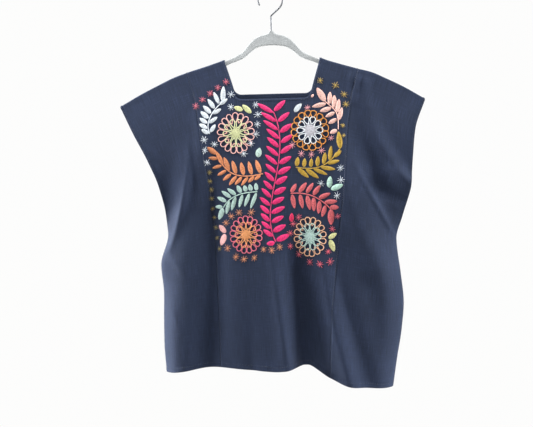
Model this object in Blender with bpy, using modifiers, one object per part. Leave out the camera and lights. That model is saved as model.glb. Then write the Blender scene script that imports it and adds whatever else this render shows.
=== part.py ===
"""A three-panel huipil blouse hanging on a flat hanger, as solids at real size.

The cloth is one surface, cloth_points(u, v), in the garment's own woven coordinates. u runs
across the cloth from the centre line, and v runs down from the shoulder fold, positive on the
front and negative on the back. The front faces -Y and +Z is up. The origin is the inside top of
the hanger's hook, where a rail bears.
"""

import math
from collections import namedtuple

import bmesh
import bpy
import numpy as np

# Cloth: the flat cut
WALL = 0.0015  # handwoven cotton with its turned edges
SEAM_GAP = 0.0010  # between two panels that are sewn side by side
CENTRE_HALF = 0.164  # the centre panel is one loom width, 328 mm
CLOTH_HALF = 0.327  # centre line to the outer selvedge
LENGTH = 0.680  # shoulder fold to hem
NECK_HALF = 0.0775
NECK_FRONT = 0.091  # drop of the square neck below the shoulder fold
NECK_BACK = 0.078
NECK_CORNER = 0.013  # corner radius of the neck hole
UNDERARM = 0.330  # shoulder fold to the top of the side seam

# Cloth: how it hangs
FOLD_ARC = 0.007  # cloth that lies in each half of the shoulder fold
FOLD_OVER_HANGER = 0.00465  # outer radius of the fold over the hanger's bar
FOLD_OF_SLEEVE = 0.0036  # outer radius of the fold past the hanger's tips
NECK_FLARE = 0.0130  # how far the straps pull the neck's top corners apart
BODY_DEPTH = {"front": 0.056, "back": 0.048}  # hollow of the body at the hem
HOLLOW_GROWTH = 0.75
SIDE_ROUNDING = 3.5
ARMHOLE_GAPE = 0.024  # how far each armhole edge stands off the middle
CREASE_EDGE_FADE = 6

# Hanger: a flat flocked hanger with a wire hook
HANGER_HALF_SPAN = 0.2184
HANGER_THICKNESS = 0.0055
HANGER_ROUNDING = 0.0022
HANGER_ARM_HEIGHT = 0.0100
HANGER_TIP_DROOP = 0.45
HANGER_TILT = 0.025  # fall across the hanger, for each metre to the right
HANGER_NECK_POINTS = 36
HANGER_ARM_POINTS = 10
HANGER_CLEARANCE = 0.0012
HOOK_WIRE = 0.0018  # wire radius
HOOK_RADIUS = 0.0265  # of the hook's round, to the middle of the wire
HOOK_FOOT = -0.0905
HOOK_BEND_RADIUS = 0.008
HOOK_LEAVES_STEM = math.radians(-50)  # where the round takes over from the bend
HOOK_ENDS = math.radians(205)
HOOK_POINTS = 34

# Grid counts of the panels
CENTRE_COLUMNS = (5, 10, 5)  # beside, below and beside the neck
SIDE_COLUMNS = 10
ROWS_TO_NECK = 4
ROWS_TO_UNDERARM = 8
ROWS_TO_HEM = 10
ARC_ROWS = 3

# Height of the shoulder fold, from the centre line to the sleeve's corner
Shoulder = namedtuple("Shoulder", "u z_left z_right")
SHOULDER = (
    Shoulder(0.0, -0.1510, -0.1510),
    Shoulder(0.0775, -0.1495, -0.1534),
    Shoulder(0.095, -0.1541, -0.1595),
    Shoulder(0.120, -0.1613, -0.1676),
    Shoulder(0.164, -0.1725, -0.1801),
    Shoulder(0.194, -0.1819, -0.1882),
    Shoulder(0.230, -0.1965, -0.2031),
    Shoulder(0.280, -0.2175, -0.2251),
    Shoulder(0.327, -0.2400, -0.2496),
)

# How far to the side the edges and seams hang, at each share of the way from shoulder to hem
Outline = namedtuple("Outline", "share left_edge left_seam centre right_seam right_edge")
OUTLINE = (
    Outline(0.00, 0.337, 0.186, 0.000, 0.182, 0.322),
    Outline(0.10, 0.308, 0.169, 0.000, 0.165, 0.299),
    Outline(0.20, 0.277, 0.160, 0.000, 0.156, 0.291),
    Outline(0.30, 0.2535, 0.151, 0.000, 0.150, 0.285),
    Outline(0.40, 0.2425, 0.142, 0.000, 0.144, 0.268),
    Outline(0.48, 0.241, 0.138, -0.001, 0.137, 0.255),
    Outline(0.60, 0.259, 0.134, -0.004, 0.127, 0.262),
    Outline(0.70, 0.255, 0.132, -0.007, 0.119, 0.267),
    Outline(0.80, 0.257, 0.131, -0.010, 0.112, 0.261),
    Outline(0.90, 0.258, 0.130, -0.012, 0.108, 0.250),
    Outline(1.00, 0.255, 0.130, -0.013, 0.105, 0.240),
)

# Height of the hem across the cloth, lower on one side because the blouse hangs a little askew
Hem = namedtuple("Hem", "u front back")
HEM = (
    Hem(-0.327, -0.826, -0.826),
    Hem(-0.250, -0.817, -0.825),
    Hem(-0.164, -0.813, -0.822),
    Hem(0.000, -0.818, -0.816),
    Hem(0.060, -0.8130, -0.8135),
    Hem(0.100, -0.8120, -0.8120),
    Hem(0.130, -0.8230, -0.8155),
    Hem(0.164, -0.838, -0.820),
    Hem(0.250, -0.855, -0.845),
    Hem(0.327, -0.863, -0.863),
)

# The largest folds: ridges have a positive lift and troughs a negative one
Crease = namedtuple(
    "Crease", "x_top z_top x_mid z_mid x_low z_low width_top width_low lift_mid lift_low"
)
FRONT_CREASES = (
    # left body: trough along the seam, ridge down the side
    Crease(-0.136, -0.340, -0.140, -0.560, -0.168, -0.840, 0.030, 0.036, -0.014, -0.024),
    Crease(-0.176, -0.200, -0.205, -0.560, -0.218, -0.840, 0.030, 0.034, 0.008, 0.013),
    # middle: ridge, deep trough and ridge that open towards the hem
    Crease(-0.030, -0.420, 0.000, -0.640, 0.024, -0.840, 0.030, 0.028, 0.007, 0.017),
    Crease(0.046, -0.440, 0.051, -0.680, 0.058, -0.840, 0.030, 0.034, -0.013, -0.034),
    Crease(0.078, -0.440, 0.110, -0.660, 0.158, -0.860, 0.026, 0.030, 0.009, 0.024),
    # right body: trough beside that ridge, and the full side
    Crease(0.120, -0.500, 0.160, -0.700, 0.200, -0.870, 0.024, 0.030, -0.010, -0.020),
    Crease(0.216, -0.520, 0.238, -0.650, 0.236, -0.870, 0.030, 0.034, 0.014, 0.010),
    # right arm: the long diagonal ridge from the yoke, and the trough above it
    Crease(0.140, -0.300, 0.192, -0.448, 0.250, -0.575, 0.022, 0.024, 0.015, 0.010),
    Crease(0.180, -0.250, 0.228, -0.420, 0.262, -0.520, 0.024, 0.026, -0.013, -0.010),
    Crease(0.214, -0.215, 0.246, -0.372, 0.290, -0.440, 0.022, 0.024, 0.012, 0.010),
)
BACK_CREASES = (
    Crease(-0.150, -0.300, -0.176, -0.560, -0.190, -0.840, 0.030, 0.036, -0.010, -0.020),
    Crease(-0.090, -0.380, -0.112, -0.600, -0.120, -0.840, 0.030, 0.034, 0.008, 0.018),
    Crease(-0.020, -0.420, -0.040, -0.640, -0.052, -0.840, 0.032, 0.036, -0.009, -0.024),
    Crease(0.030, -0.400, 0.022, -0.640, 0.020, -0.840, 0.032, 0.034, 0.006, 0.015),
    Crease(0.080, -0.380, 0.086, -0.620, 0.088, -0.850, 0.030, 0.032, -0.009, -0.020),
    Crease(0.140, -0.320, 0.152, -0.600, 0.164, -0.860, 0.030, 0.034, 0.010, 0.018),
    Crease(-0.140, -0.280, -0.196, -0.440, -0.236, -0.560, 0.024, 0.026, 0.012, 0.008),
    Crease(0.150, -0.290, 0.196, -0.440, 0.240, -0.570, 0.024, 0.026, 0.011, 0.008),
)
CREASES = {"front": FRONT_CREASES, "back": BACK_CREASES}

# The hanger's top and bottom edges at each distance from its middle, up to the shoulder
HangerEdge = namedtuple("HangerEdge", "x top bottom")
HANGER_NECK = (
    HangerEdge(0.0000, -0.0908, -0.1225),
    HangerEdge(0.0030, -0.0908, -0.1225),
    HangerEdge(0.0065, -0.0965, -0.1226),
    HangerEdge(0.0150, -0.0998, -0.1232),
    HangerEdge(0.0260, -0.1024, -0.1250),
    HangerEdge(0.0370, -0.1078, -0.1298),
    HangerEdge(0.0480, -0.1178, -0.1382),
    HangerEdge(0.0580, -0.1293, -0.1465),
    HangerEdge(0.0660, -0.1376, -0.1513),
    HangerEdge(0.0760, -0.1434, -0.1552),
    HangerEdge(0.0880, -0.1488, -0.1592),
)

# Colours and finishes
CLOTH_COLOUR = (0.018, 0.026, 0.052)
FLOCK_COLOUR = (0.48, 0.49, 0.51)
WIRE_COLOUR = (0.80, 0.80, 0.82)


def through(rows, column, at):
    """A smooth curve through one column of a table, read at the places given."""
    xs = np.array([row[0] for row in rows], float)
    ys = np.array([getattr(row, column) for row in rows], float)
    at = np.clip(np.asarray(at, float), xs[0], xs[-1])
    step = np.diff(ys) / np.diff(xs)
    slope = np.empty_like(ys)
    slope[0], slope[-1] = step[0], step[-1]
    rising = step[:-1] * step[1:] > 0
    slope[1:-1] = np.where(rising, 2 * step[:-1] * step[1:] / (step[:-1] + step[1:] + 1e-12), 0)
    k = np.clip(np.searchsorted(xs, at, side="right") - 1, 0, len(xs) - 2)
    width = xs[k + 1] - xs[k]
    t = (at - xs[k]) / width
    return (
        ys[k] * (1 + 2 * t) * (1 - t) ** 2
        + ys[k + 1] * t**2 * (3 - 2 * t)
        + width * t * (1 - t) * (slope[k] * (1 - t) - slope[k + 1] * t)
    )


def ease(t):
    t = np.clip(t, 0, 1)
    return t * t * (3 - 2 * t)


def by_side(u, left, right):
    return np.where(u < 0, left, right)


def fold_radius(u):
    """Outer radius of the shoulder fold, wide over the hanger and narrow past its tips."""
    past_tip = ease((np.abs(u) - 0.212) / 0.030)
    return FOLD_OVER_HANGER + (FOLD_OF_SLEEVE - FOLD_OVER_HANGER) * past_tip


def shoulder_height(u):
    a = np.abs(u)
    return by_side(u, through(SHOULDER, "z_left", a), through(SHOULDER, "z_right", a))


def neck_flare(u, share):
    """The straps spread at the top, where the hanger's slope pulls them outwards."""
    neck_share = (NECK_FRONT - FOLD_ARC) / (LENGTH - FOLD_ARC)
    up = np.clip(1 - share / neck_share, 0, 1)
    across = np.clip((CENTRE_HALF - np.abs(u)) / (CENTRE_HALF - NECK_HALF), 0, 1)
    return np.sign(u) * NECK_FLARE * up * across


def sideways(u, share):
    """X of the thread u at a share of the way down, read between the edges and the seams."""
    a = np.abs(u)
    edge = by_side(
        u, through(OUTLINE, "left_edge", share), through(OUTLINE, "right_edge", share)
    )
    seam = by_side(
        u, through(OUTLINE, "left_seam", share), through(OUTLINE, "right_seam", share)
    )
    centre = through(OUTLINE, "centre", share) * np.where(u < 0, -1, 1)
    inner_slope = (seam - centre) / CENTRE_HALF
    outer_slope = (edge - seam) / (CLOTH_HALF - CENTRE_HALF)
    at_seam = 2 * inner_slope * outer_slope / (inner_slope + outer_slope)
    inner = hermite(a / CENTRE_HALF, centre, seam, inner_slope * CENTRE_HALF, at_seam * CENTRE_HALF)
    span = CLOTH_HALF - CENTRE_HALF
    outer = hermite((a - CENTRE_HALF) / span, seam, edge, at_seam * span, outer_slope * span)
    return np.where(u < 0, -1, 1) * np.where(a < CENTRE_HALF, inner, outer) + neck_flare(u, share)


def hermite(t, start, end, slope_start, slope_end):
    t = np.clip(t, 0, 1)
    return (
        start * (1 + 2 * t) * (1 - t) ** 2
        + end * t**2 * (3 - 2 * t)
        + t * (1 - t) * (slope_start * (1 - t) - slope_end * t)
    )


def crease_lift(x, z, creases):
    """How far the folds move the cloth outwards at a place seen from the front."""
    lift = np.zeros_like(x)
    for c in creases:
        upper = ease((c.z_top - z) / (c.z_top - c.z_mid))
        lower = ease((c.z_mid - z) / (c.z_mid - c.z_low))
        t = np.clip((c.z_top - z) / (c.z_top - c.z_low), 0, 1)
        m = (c.z_top - c.z_mid) / (c.z_top - c.z_low)
        bow = (c.x_mid - c.x_top - (c.x_low - c.x_top) * m) / (m * (1 - m))
        line = c.x_top + (c.x_low - c.x_top) * t + bow * t * (1 - t)
        lean = (c.x_low - c.x_top + bow * (1 - 2 * t)) / (c.z_top - c.z_low)
        width = c.width_top + (c.width_low - c.width_top) * t
        off = (x - line) / np.sqrt(1 + lean**2)
        height = c.lift_mid * upper + (c.lift_low - c.lift_mid) * lower
        past_end = np.exp(-((np.maximum(c.z_low - z, 0) / width) ** 2))
        lift += height * past_end * np.exp(-((off / width) ** 2))
    return lift


def depth(u, share, x, z, side):
    """How far the cloth stands off the hanger's plane."""
    s = np.clip(np.abs(u) / CLOTH_HALF, 0, 1)
    underarm = (UNDERARM - FOLD_ARC) / (LENGTH - FOLD_ARC)
    hollow = BODY_DEPTH[side] * np.maximum(share, 0) ** HOLLOW_GROWTH
    fold = fold_radius(u) * np.sqrt(1 - ease((share - 0.6 * underarm) / (0.4 * underarm)))
    gape = ARMHOLE_GAPE * np.sin(np.pi * np.clip(share / underarm, 0, 1)) * s**4
    base = np.sqrt(fold**2 + hollow**2 * (1 - s**SIDE_ROUNDING) + gape**2)
    closed = ease(share / underarm)
    near_edge = 1 - closed * s**CREASE_EDGE_FADE
    folds = crease_lift(x, z, CREASES[side]) * near_edge * ease(share / 0.12)
    least = np.where(share < underarm, fold, 0.35 * base)
    return np.maximum(base + folds, least)


def cloth_points(u, v):
    """The outer face of the hanging cloth at woven place (u, v), as an array of points."""
    u, v = np.broadcast_arrays(np.asarray(u, float), np.asarray(v, float))
    share = (np.abs(v) - FOLD_ARC) / (LENGTH - FOLD_ARC)
    on_panel = np.clip(share, 0, 1)
    radius = fold_radius(u)
    crest = shoulder_height(u)
    front = v >= 0
    hem = np.where(front, through(HEM, "front", u), through(HEM, "back", u))
    x = sideways(u, on_panel)
    z = (crest - radius) + (hem - crest + radius) * on_panel
    out = np.where(
        front, depth(u, on_panel, x, z, "front"), depth(u, on_panel, x, z, "back")
    )
    y = np.where(front, -out, out)
    turn = np.clip(v / FOLD_ARC, -1, 1) * math.pi / 2
    in_fold = share < 0
    y = np.where(in_fold, -radius * np.sin(turn), y)
    z = np.where(in_fold, crest - radius + radius * np.cos(turn), z)
    return np.stack([x, y, z], axis=-1)


def steps(start, end, count):
    return [start + (end - start) * k / count for k in range(1, count + 1)]


def rows_down(neck):
    """Distances from the shoulder fold, with a row on the neck's edge and at the underarm."""
    return (
        steps(0, FOLD_ARC, ARC_ROWS)
        + steps(FOLD_ARC, neck, ROWS_TO_NECK)
        + steps(neck, UNDERARM, ROWS_TO_UNDERARM)
        + steps(UNDERARM, LENGTH, ROWS_TO_HEM)
    )


def all_rows():
    front = rows_down(NECK_FRONT)
    back = rows_down(NECK_BACK)
    return [-v for v in reversed(back)] + [0.0] + front


def round_neck_corners(u, v):
    """Moves the grid points at the neck hole's corners onto its corner arcs."""
    for neck, sign in ((NECK_FRONT, 1), (NECK_BACK, -1)):
        reach_u = NECK_HALF - np.abs(u)
        reach_v = neck - sign * v
        corner = (np.abs(reach_u) < 1e-9) & (np.abs(reach_v) < 1e-9)
        cut = NECK_CORNER * (1 - math.sqrt(0.5))
        u = np.where(corner, np.sign(u) * (NECK_HALF - cut), u)
        v = np.where(corner, sign * (neck - cut), v)
    return u, v


def new_object(name, collection, mesh, material):
    made = bpy.data.objects.new(name, mesh)
    made.data.materials.append(material)
    collection.objects.link(made)
    return made


def shell(name, collection, material, u, v, keep, joined=None):
    """An open grid of the cloth's outer face, thickened inwards to a wall."""
    rows, columns = u.shape
    places = cloth_points(u, v)
    build = bmesh.new()
    corners = [[None] * columns for _ in range(rows)]
    for i in range(rows):
        for j in range(columns):
            same = joined(i, j) if joined else None
            corners[i][j] = corners[same[0]][same[1]] if same else build.verts.new(places[i, j])
    for i in range(rows - 1):
        for j in range(columns - 1):
            if keep(i, j):
                build.faces.new(
                    (corners[i][j], corners[i][j + 1], corners[i + 1][j + 1], corners[i + 1][j])
                )
    loose = [vert for vert in build.verts if not vert.link_faces]
    bmesh.ops.delete(build, geom=loose, context="VERTS")
    bmesh.ops.recalc_face_normals(build, faces=build.faces)
    face_outwards(build)
    mesh = bpy.data.meshes.new(name)
    build.to_mesh(mesh)
    build.free()
    made = new_object(name, collection, mesh, material)
    mesh.shade_smooth()
    wall = made.modifiers.new("wall", "SOLIDIFY")
    wall.thickness = WALL
    wall.offset = -1
    wall.use_even_offset = True
    wall.use_quality_normals = True
    return made


def face_outwards(build):
    """The cloth's outer face looks away from the hanger's plane."""
    outward = sum(
        face.normal.y * face.calc_center_median().y * face.calc_area() for face in build.faces
    )
    if outward < 0:
        bmesh.ops.reverse_faces(build, faces=build.faces)


def centre_panel(collection, material):
    beside, below, other = CENTRE_COLUMNS
    across = (
        [-CENTRE_HALF]
        + steps(-CENTRE_HALF, -NECK_HALF, beside)
        + steps(-NECK_HALF, NECK_HALF, below)
        + steps(NECK_HALF, CENTRE_HALF, other)
    )
    rows = all_rows()
    u, v = np.meshgrid(across, rows)

    def keep(i, j):
        middle_u = (across[j] + across[j + 1]) / 2
        middle_v = (rows[i] + rows[i + 1]) / 2
        return abs(middle_u) > NECK_HALF or not -NECK_BACK < middle_v < NECK_FRONT

    u, v = round_neck_corners(u, v)
    return shell("centre_panel", collection, material, u, v, keep)


def side_panel(name, sign, collection, material):
    """One side panel, folded over the shoulder and sewn to itself below the armhole."""
    inner = CENTRE_HALF + SEAM_GAP
    fill = [k / SIDE_COLUMNS for k in range(SIDE_COLUMNS + 1)]
    across = [sign * (inner + (CLOTH_HALF - inner) * (1 - (1 - f) ** 1.5)) for f in fill]
    rows = all_rows()
    u, v = np.meshgrid(across, rows)
    last_column = len(across) - 1
    back_row_at = {round(-v, 6): i for i, v in enumerate(rows) if v < 0}

    def joined(i, j):
        sewn = j == last_column and rows[i] > UNDERARM - 1e-9
        return (back_row_at[round(rows[i], 6)], j) if sewn else None

    return shell(name, collection, material, u, v, lambda i, j: True, joined)


def crest_over(x):
    """Height of the lower shoulder fold over the hanger before its tilt, at x from the middle."""
    u = np.linspace(NECK_HALF, CLOTH_HALF, 60)
    heights = []
    for sign in (-1, 1):
        fold = cloth_points(sign * u, 0)
        heights.append(np.interp(x, np.abs(fold[:, 0]), fold[:, 2]) + sign * HANGER_TILT * x)
    return float(min(heights))


def hanger_edges():
    """Places down the right half of the hanger, as x, top and bottom."""
    edges = []
    for x in [0.0] + steps(0, HANGER_NECK[-1].x, HANGER_NECK_POINTS):
        top = float(through(HANGER_NECK, "top", x))
        bottom = float(through(HANGER_NECK, "bottom", x))
        edges.append((x, top, bottom))
    for x in steps(HANGER_NECK[-1].x, HANGER_HALF_SPAN - HANGER_ARM_HEIGHT / 2, HANGER_ARM_POINTS):
        top = crest_over(x) - WALL - HANGER_CLEARANCE
        edges.append((x, top, top - HANGER_ARM_HEIGHT))
    return edges


def hanger_outline():
    """The closed outline of the tilted hanger: over the top, round each tip and back below."""
    edges = hanger_edges()
    tip_x, tip_top, tip_bottom = edges[-1]
    middle = (tip_top + tip_bottom) / 2
    radius = HANGER_ARM_HEIGHT / 2
    right = [(x, top) for x, top, _ in edges]
    for degrees in (60, 30, 0, -30, -60):
        a = math.radians(degrees)
        reach = radius * math.cos(a)
        right.append((tip_x + reach, middle + radius * math.sin(a) - HANGER_TIP_DROOP * reach))
    right += [(x, bottom) for x, _, bottom in reversed(edges)]
    left = [(-x, z) for x, z in reversed(right) if x > 0]
    return [(x, z - HANGER_TILT * x) for x, z in right + left]


def hanger_body(collection, material):
    outline = hanger_outline()
    curve = bpy.data.curves.new("hanger_body", "CURVE")
    curve.dimensions = "2D"
    curve.fill_mode = "BOTH"
    curve.extrude = HANGER_THICKNESS / 2 - HANGER_ROUNDING
    curve.bevel_depth = HANGER_ROUNDING
    curve.bevel_resolution = 2
    curve.offset = -HANGER_ROUNDING
    spline = curve.splines.new("POLY")
    spline.points.add(len(outline) - 1)
    for point, (x, z) in zip(spline.points, outline):
        point.co = (x, z, 0, 1)
    spline.use_cyclic_u = True
    body = new_object("hanger_body", collection, curve, material)
    body.rotation_euler = (math.pi / 2, 0, 0)
    return body


def hook_line():
    """The middle of the hook's wire: up the stem, out through the bend and over the round."""
    centre_z = HOOK_WIRE - HOOK_RADIUS
    start = HOOK_LEAVES_STEM
    join = (HOOK_RADIUS * math.cos(start), centre_z + HOOK_RADIUS * math.sin(start))
    heading = math.pi / 2 + start  # from straight up, turned by the bend
    turned = math.pi / 2 - heading
    bend_x = HOOK_BEND_RADIUS * (1 - math.cos(turned))
    bend_z = HOOK_BEND_RADIUS * math.sin(turned)
    run = (join[0] - bend_x) / math.sin(turned)
    stem_top = join[1] - run * math.cos(turned) - bend_z
    points = [(0, HOOK_FOOT), (0, (HOOK_FOOT + stem_top) / 2), (0, stem_top)]
    for k in range(1, 5):
        a = turned * k / 4
        points.append(
            (HOOK_BEND_RADIUS * (1 - math.cos(a)), stem_top + HOOK_BEND_RADIUS * math.sin(a))
        )
    for k in range(HOOK_POINTS + 1):
        a = start + (HOOK_ENDS - start) * k / HOOK_POINTS
        points.append((HOOK_RADIUS * math.cos(a), centre_z + HOOK_RADIUS * math.sin(a)))
    return points


def hanger_hook(collection, material):
    points = hook_line()
    curve = bpy.data.curves.new("hanger_hook", "CURVE")
    curve.dimensions = "3D"
    curve.bevel_depth = HOOK_WIRE
    curve.bevel_resolution = 2
    curve.use_fill_caps = True
    spline = curve.splines.new("POLY")
    spline.points.add(len(points) - 1)
    for point, (x, z) in zip(spline.points, points):
        point.co = (x, 0, z, 1)
    return new_object("hanger_hook", collection, curve, material)


def new_material(name, colour, roughness, metallic=0.0):
    material = bpy.data.materials.new(name)
    material.use_nodes = True
    shader = material.node_tree.nodes["Principled BSDF"]
    shader.inputs["Base Color"].default_value = (*colour, 1)
    shader.inputs["Roughness"].default_value = roughness
    shader.inputs["Metallic"].default_value = metallic
    return material


def main():
    for old in list(bpy.data.objects):
        bpy.data.objects.remove(old)
    blouse = bpy.data.collections.new("huipil_on_hanger")
    bpy.context.scene.collection.children.link(blouse)
    centre_panel(blouse, new_material("centre_cloth", CLOTH_COLOUR, 0.9))
    side_panel("left_panel", -1, blouse, new_material("left_cloth", CLOTH_COLOUR, 0.9))
    side_panel("right_panel", 1, blouse, new_material("right_cloth", CLOTH_COLOUR, 0.9))
    hanger_body(blouse, new_material("flocking", FLOCK_COLOUR, 0.95))
    hanger_hook(blouse, new_material("hook_wire", WIRE_COLOUR, 0.25, 1.0))


main()
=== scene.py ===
"""A navy three-panel huipil blouse with an embroidered yoke, hanging on a flocked hanger.

The cloth is one surface, cloth_points(u, v), in the garment's woven coordinates. u runs across
the cloth from the centre line, and v runs down from the shoulder fold, positive on the front and
negative on the back. The front faces -Y. Threads are laid on that surface by their place and
their height above it.
"""

import math
from collections import namedtuple

import bmesh
import bpy
import numpy as np
from mathutils import Matrix, Vector


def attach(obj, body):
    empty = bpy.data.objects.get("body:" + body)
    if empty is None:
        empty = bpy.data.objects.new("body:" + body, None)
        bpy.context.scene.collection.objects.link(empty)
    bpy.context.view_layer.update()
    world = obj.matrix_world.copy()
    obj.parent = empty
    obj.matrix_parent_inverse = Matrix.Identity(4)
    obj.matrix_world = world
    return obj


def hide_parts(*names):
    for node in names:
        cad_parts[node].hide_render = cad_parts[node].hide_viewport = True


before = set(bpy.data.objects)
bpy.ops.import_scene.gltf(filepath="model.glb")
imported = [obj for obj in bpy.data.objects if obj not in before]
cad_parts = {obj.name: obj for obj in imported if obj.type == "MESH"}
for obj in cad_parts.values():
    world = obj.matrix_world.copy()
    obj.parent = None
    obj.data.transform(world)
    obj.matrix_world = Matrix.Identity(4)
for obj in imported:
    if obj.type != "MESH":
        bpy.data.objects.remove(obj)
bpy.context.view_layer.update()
rng = np.random.default_rng(7)

MM = 0.001

# Cloth: the flat cut
SHEET = 0.0011  # cotton with the thickness of its turned edges
SEAM_GAP = 0.00005
CENTRE_HALF = 0.164
CLOTH_HALF = 0.327
LENGTH = 0.680
NECK_HALF = 0.0775
NECK_FRONT = 0.091
NECK_BACK = 0.078
NECK_CORNER = 0.013
UNDERARM = 0.330

# Cloth: how it hangs
FOLD_ARC = 0.007
FOLD_OVER_HANGER = 0.00465
FOLD_OF_SLEEVE = 0.0036
HANGER_TIP = 0.212
TIP_FADE = 0.030
NECK_FLARE = 0.0130
BODY_DEPTH = {"front": 0.056, "back": 0.048}
HOLLOW_GROWTH = 0.75
SIDE_ROUNDING = 3.5
ARMHOLE_GAPE = 0.024
FOLD_CLOSES = 0.6  # share of the armhole's drop where the shoulder fold starts to close
CREASE_EDGE_FADE = 6
CREASE_FADE_IN = 0.12  # share of the length over which the folds set in below the shoulder
WRINKLE_FADE_IN = 0.03
LEAST_DEPTH = 0.35  # share of the uncreased depth that every fold leaves below the armhole

# Cloth: the turned and stitched edges
HEM_WIDTH = 0.010
NECK_HEM = 0.0045
HEM_RISE = 0.00045
HEM_STEP = 0.001
NECK_STEP = 0.0012
CORNER_FADE = 0.030

# Grid of the cloth
CELL = 0.0040
EDGE_CROWDING = 1.3  # how much finer the grid gets towards the armhole
ARC_ROWS = 6
ON_EDGE = 1e-6
TINY = 1e-9
NOT_ZERO = 1e-12  # keeps a sum of slopes off zero

# Search for the woven place under a point of the front
FIRST_GUESS = 0.95
SEARCH_STEPS = 14
SEARCH_PACE = 0.9
NORMAL_STEP = 0.0005
STEEP = 0.3  # on the shoulder fold, normals with more Z than this are turned upwards


def table(name, fields, *rows):
    """Rows as named tuples."""
    kind = namedtuple(name, fields)
    return tuple(kind(*row) for row in rows)


SHOULDER = table(
    "Shoulder",
    "u left_crest right_crest",
    (0.0, -0.1510, -0.1510),
    (0.0775, -0.1495, -0.1534),
    (0.095, -0.1541, -0.1595),
    (0.120, -0.1613, -0.1676),
    (0.164, -0.1725, -0.1801),
    (0.194, -0.1819, -0.1882),
    (0.230, -0.1965, -0.2031),
    (0.280, -0.2175, -0.2251),
    (0.327, -0.2400, -0.2496),
)

OUTLINE = table(
    "Outline",
    "share left_edge left_seam centre right_seam right_edge",
    (0.00, 0.337, 0.186, 0.000, 0.182, 0.322),
    (0.10, 0.308, 0.169, 0.000, 0.165, 0.299),
    (0.20, 0.277, 0.160, 0.000, 0.156, 0.291),
    (0.30, 0.2535, 0.151, 0.000, 0.150, 0.285),
    (0.40, 0.2425, 0.142, 0.000, 0.144, 0.268),
    (0.48, 0.241, 0.138, -0.001, 0.137, 0.255),
    (0.60, 0.259, 0.134, -0.004, 0.127, 0.262),
    (0.70, 0.255, 0.132, -0.007, 0.119, 0.267),
    (0.80, 0.257, 0.131, -0.010, 0.112, 0.261),
    (0.90, 0.258, 0.130, -0.012, 0.108, 0.250),
    (1.00, 0.255, 0.130, -0.013, 0.105, 0.240),
)

HEM = table(
    "Hem",
    "u front back",
    (-0.327, -0.826, -0.826),
    (-0.250, -0.817, -0.825),
    (-0.164, -0.813, -0.822),
    (0.000, -0.818, -0.816),
    (0.060, -0.8130, -0.8135),
    (0.100, -0.8120, -0.8120),
    (0.130, -0.8230, -0.8155),
    (0.164, -0.838, -0.820),
    (0.250, -0.855, -0.845),
    (0.327, -0.863, -0.863),
)

Crease = namedtuple(
    "Crease", "x_top z_top x_mid z_mid x_low z_low width_top width_low lift_mid lift_low"
)


def millimetres(kind, *rows):
    """Rows of lengths in millimetres, as named tuples in metres."""
    return tuple(kind(*(length * MM for length in row)) for row in rows)


# The folds that the solids have
FRONT_CREASES = millimetres(
    Crease,
    (-136, -340, -140, -560, -168, -840, 30, 36, -14, -24),
    (-176, -200, -205, -560, -218, -840, 30, 34, 8, 13),
    (-30, -420, 0, -640, 24, -840, 30, 28, 7, 17),
    (46, -440, 51, -680, 58, -840, 30, 34, -13, -34),
    (78, -440, 110, -660, 158, -860, 26, 30, 9, 24),
    (120, -500, 160, -700, 200, -870, 24, 30, -10, -20),
    (216, -520, 238, -650, 236, -870, 30, 34, 14, 10),
    (140, -300, 192, -448, 250, -575, 22, 24, 15, 10),
    (180, -250, 228, -420, 262, -520, 24, 26, -13, -10),
    (214, -215, 246, -372, 290, -440, 22, 24, 12, 10),
)
BACK_CREASES = millimetres(
    Crease,
    (-150, -300, -176, -560, -190, -840, 30, 36, -10, -20),
    (-90, -380, -112, -600, -120, -840, 30, 34, 8, 18),
    (-20, -420, -40, -640, -52, -840, 32, 36, -9, -24),
    (30, -400, 22, -640, 20, -840, 32, 34, 6, 15),
    (80, -380, 86, -620, 88, -850, 30, 32, -9, -20),
    (140, -320, 152, -600, 164, -860, 30, 34, 10, 18),
    (-140, -280, -196, -440, -236, -560, 24, 26, 12, 8),
    (150, -290, 196, -440, 240, -570, 24, 26, 11, 8),
)

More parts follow.
